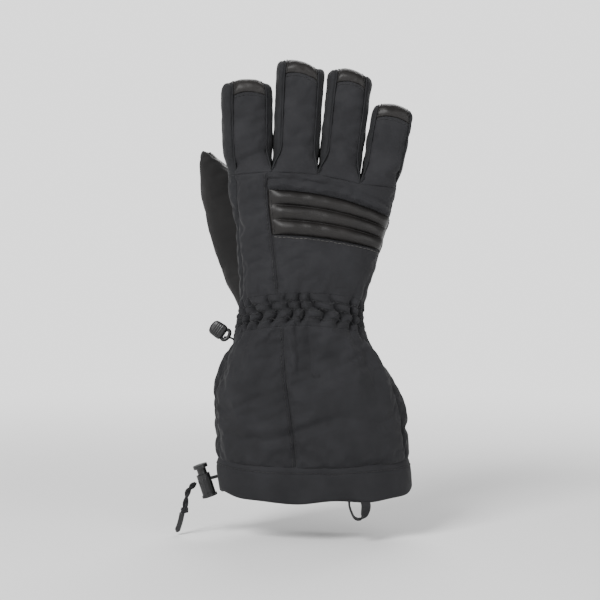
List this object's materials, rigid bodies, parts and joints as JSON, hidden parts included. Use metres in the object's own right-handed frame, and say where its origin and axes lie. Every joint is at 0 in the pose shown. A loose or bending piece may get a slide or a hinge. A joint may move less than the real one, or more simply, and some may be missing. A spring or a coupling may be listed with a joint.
{
  "type": "ski glove",
  "caption": "Right-hand insulated ski glove: leather palm and finger strips, quilted knuckle pad, shirred wrist, gauntlet cuff with drawcord hem, cord lock and loop.",
  "frame": {"origin": "where the axis up the wrist and middle finger meets the plane of the cuff's hem", "axes": "+Z towards the fingertips, -Y out of the back of the hand, +Y out of the palm, -X towards the thumb"},
  "size_m": [0.1792, 0.096, 0.3562],
  "materials": {
    "shell_fabric": "dry woven softshell",
    "palm_leather": "soft-grain goat leather with a light gloss",
    "thumb_suede": "brushed suede, matt",
    "insulation": "non-woven wadding",
    "fleece": "short-pile fleece",
    "elastic": "covered elastic",
    "cord": "braided round elastic cord",
    "webbing": "flat woven tape",
    "moulded_plastic": "fine spark-eroded moulding",
    "spring_steel": "drawn wire"
  },
  "bodies": {
    "cuff": {"cuff_back_panel_thumb_side": "shell_fabric", "cuff_back_panel_little_side": "shell_fabric", "cuff_palm_panel": "shell_fabric", "cuff_gusset_thumb_side": "shell_fabric", "cuff_gusset_little_side": "shell_fabric", "cuff_lining": "fleece", "hem_band": "shell_fabric", "hem_drawcord": "cord", "wrist_clip_tab": "webbing"},
    "hand": {"hand_index_side_panel": "shell_fabric", "hand_back_panel_thumb_side": "shell_fabric", "hand_back_panel": "shell_fabric", "knuckle_band": "shell_fabric", "knuckle_pad": "palm_leather", "palm_leather_upper": "palm_leather", "palm_leather_lower": "palm_leather", "palm_reinforcement_patch": "palm_leather", "hand_insulation": "insulation", "hand_lining": "fleece", "wrist_shirring": "shell_fabric", "wrist_elastic": "elastic"},
    "thumb": {"thumb_leather_face": "palm_leather", "thumb_side_gusset": "shell_fabric", "thumb_suede_back": "thumb_suede", "thumb_insulation": "insulation", "thumb_lining": "fleece"},
    "cord_lock": {"cord_lock_barrel": "moulded_plastic", "drawcord_lead": "cord"},
    "lock_button": {"cord_lock_plunger": "moulded_plastic", "cord_lock_spring": "spring_steel"},
    "cord_tail": {"cord_tail": "cord", "cord_end_toggle": "moulded_plastic"},
    "hang_loop": {"hang_loop": "webbing"},
    "wrist_clip": {"wrist_clip": "moulded_plastic"},
    "index_finger": {"index_back_panel": "shell_fabric", "index_leather_strip": "palm_leather", "index_fourchette_thumb_side": "shell_fabric", "index_fourchette_little_side": "shell_fabric", "index_insulation": "insulation", "index_lining": "fleece"},
    "middle_finger": {"middle_back_panel": "shell_fabric", "middle_leather_strip": "palm_leather", "middle_fourchette_thumb_side": "shell_fabric", "middle_fourchette_little_side": "shell_fabric", "middle_insulation": "insulation", "middle_lining": "fleece"},
    "ring_finger": {"ring_back_panel": "shell_fabric", "ring_leather_strip": "palm_leather", "ring_fourchette_thumb_side": "shell_fabric", "ring_fourchette_little_side": "shell_fabric", "ring_insulation": "insulation", "ring_lining": "fleece"},
    "little_finger": {"little_back_panel": "shell_fabric", "little_leather_strip": "palm_leather", "little_fourchette_thumb_side": "shell_fabric", "little_fourchette_little_side": "shell_fabric", "little_insulation": "insulation", "little_lining": "fleece"}
  },
  "joints": [
    {"name": "wrist_bend", "type": "hinge", "parent": "cuff", "child": "hand", "pos_m": [0, 0, 0.131], "axis": [1, 0, 0], "range_deg": [-22, 22], "stiffness_Nm_per_rad": 5, "deforming": ["wrist_shirring", "wrist_elastic"]},
    {"name": "index_finger_bend", "type": "hinge", "parent": "hand", "child": "index_finger", "pos_m": [-0.0392, 0, 0.238], "axis": [-1, 0, -0.0087], "range_deg": [0, 45], "stiffness_Nm_per_rad": 0.5},
    {"name": "middle_finger_bend", "type": "hinge", "parent": "hand", "child": "middle_finger", "pos_m": [-0.004, 0, 0.238], "axis": [-0.9986, 0, 0.0523], "range_deg": [0, 60], "stiffness_Nm_per_rad": 0.5},
    {"name": "ring_finger_bend", "type": "hinge", "parent": "hand", "child": "ring_finger", "pos_m": [0.0284, 0, 0.236], "axis": [-0.9936, 0, 0.1132], "range_deg": [0, 60], "stiffness_Nm_per_rad": 0.5},
    {"name": "little_finger_bend", "type": "hinge", "parent": "hand", "child": "little_finger", "pos_m": [0.0588, 0, 0.229], "axis": [-0.9848, 0, 0.1736], "range_deg": [0, 60], "stiffness_Nm_per_rad": 0.5},
    {"name": "thumb_swing", "type": "hinge", "parent": "hand", "child": "thumb", "pos_m": [-0.034, 0.0398, 0.166], "axis": [0, -1, 0], "range_deg": [-3, 24], "stiffness_Nm_per_rad": 0.8},
    {"name": "cord_lock_slide", "type": "slide", "parent": "cuff", "child": "cord_lock", "axis": [-0.9511, 0, -0.309], "range_m": [0, 0.012], "stiffness_N_per_m": 60, "deforming": ["drawcord_lead"]},
    {"name": "lock_button_press", "type": "slide", "parent": "cord_lock", "child": "lock_button", "axis": [0.309, 0, -0.9511], "range_m": [0, 0.004], "stiffness_N_per_m": 900, "springref_m": -0.001, "deforming": ["cord_lock_spring"]},
    {"name": "cord_tail_swing", "type": "hinge", "parent": "cord_lock", "child": "cord_tail", "pos_m": [-0.07778, 0, 0.01001], "axis": [0, 1, 0], "range_deg": [-5, 50], "stiffness_Nm_per_rad": 0.004},
    {"name": "hang_loop_swing", "type": "hinge", "parent": "cuff", "child": "hang_loop", "pos_m": [0.043, -0.033, 0], "axis": [0, 1, 0], "range_deg": [-28, 28], "stiffness_Nm_per_rad": 0.01},
    {"name": "wrist_clip_flap", "type": "hinge", "parent": "cuff", "child": "wrist_clip", "pos_m": [-0.0554, 0, 0.1215], "axis": [-0.5736, 0, -0.8191], "range_deg": [-45, 45], "stiffness_Nm_per_rad": 0.01}
  ]
}
